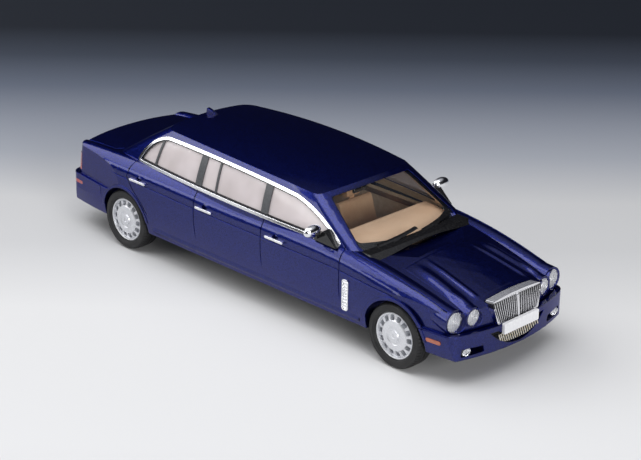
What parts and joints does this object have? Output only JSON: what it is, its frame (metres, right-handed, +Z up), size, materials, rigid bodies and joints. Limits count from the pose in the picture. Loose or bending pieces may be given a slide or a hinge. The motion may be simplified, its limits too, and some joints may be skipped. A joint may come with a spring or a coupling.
{
  "type": "scale model stretch limousine",
  "caption": "Shelf model of a long six-door limousine with glazed cabin, fluted upright grille, round twin lamps and rolling wheels.",
  "frame": {"origin": "on the ground at the middle of the overall length and width", "axes": "+X forward, +Y to the car's left, +Z up"},
  "size_m": [0.1416, 0.0498, 0.0362],
  "materials": {
    "paint": "metallic gloss",
    "base_black": "satin",
    "steel": "bright",
    "cream_trim": "matt",
    "tan_leather": "satin",
    "clear_glass": "clear",
    "tinted_glass": "faint tint",
    "chrome": "mirror",
    "pillar_grey": "satin",
    "lamp_silver": "bright",
    "trim_black": "satin",
    "mesh_metal": "bright",
    "plate_white": "gloss",
    "red_lens": "clear",
    "amber_lens": "clear",
    "wheel_silver": "silver",
    "tyre": "matt",
    "wood": "gloss",
    "mirror_glass": "mirror"
  },
  "bodies": {
    "body": {"body_shell": "paint", "base_plate": "base_black", "base_screws": "steel", "cabin_tub": "cream_trim", "dashboard": "tan_leather", "steering_wheel": "cream_trim", "front_seats": "tan_leather", "middle_seats": "tan_leather", "rear_seats": "tan_leather", "windscreen": "clear_glass", "rear_window": "clear_glass", "side_glass_left": "tinted_glass", "side_glass_right": "tinted_glass", "window_surround_left": "chrome", "window_surround_right": "chrome", "pillar_covers_left": "pillar_grey", "pillar_covers_right": "pillar_grey", "headlamp_bowls": "lamp_silver", "headlamp_covers": "clear_glass", "fog_lamps": "lamp_silver", "grille_surround": "chrome", "grille_backing": "trim_black", "grille_vanes": "chrome", "intake_mesh": "mesh_metal", "front_number_plate": "plate_white", "rear_number_plate": "plate_white", "tail_lamps": "red_lens", "front_side_markers": "amber_lens", "rear_side_markers": "red_lens", "side_vents": "chrome", "door_handles_left": "chrome", "door_handles_right": "chrome", "mirror_caps": "chrome", "mirror_bases": "trim_black", "cowl_panel": "trim_black", "wipers": "trim_black", "roof_antenna": "paint", "interior_mirror": "trim_black", "exhaust_tips": "chrome", "window_seals_left": "trim_black", "window_seals_right": "trim_black", "windscreen_border": "trim_black", "headlining": "cream_trim", "door_wood": "wood", "intake_back": "trim_black", "boot_strip": "chrome", "mirror_glasses": "mirror_glass"},
    "front_wheel_set": {"front_axle": "steel", "front_wheels": "wheel_silver", "front_tyres": "tyre"},
    "rear_wheel_set": {"rear_axle": "steel", "rear_wheels": "wheel_silver", "rear_tyres": "tyre"}
  },
  "joints": [
    {"name": "front_axle_roll", "type": "hinge", "parent": "body", "child": "front_wheel_set", "pos_m": [0.0505, 0, 0.008], "axis": [0, 1, 0], "continuous": true},
    {"name": "rear_axle_roll", "type": "hinge", "parent": "body", "child": "rear_wheel_set", "pos_m": [-0.0445, 0, 0.008], "axis": [0, 1, 0], "continuous": true}
  ]
}
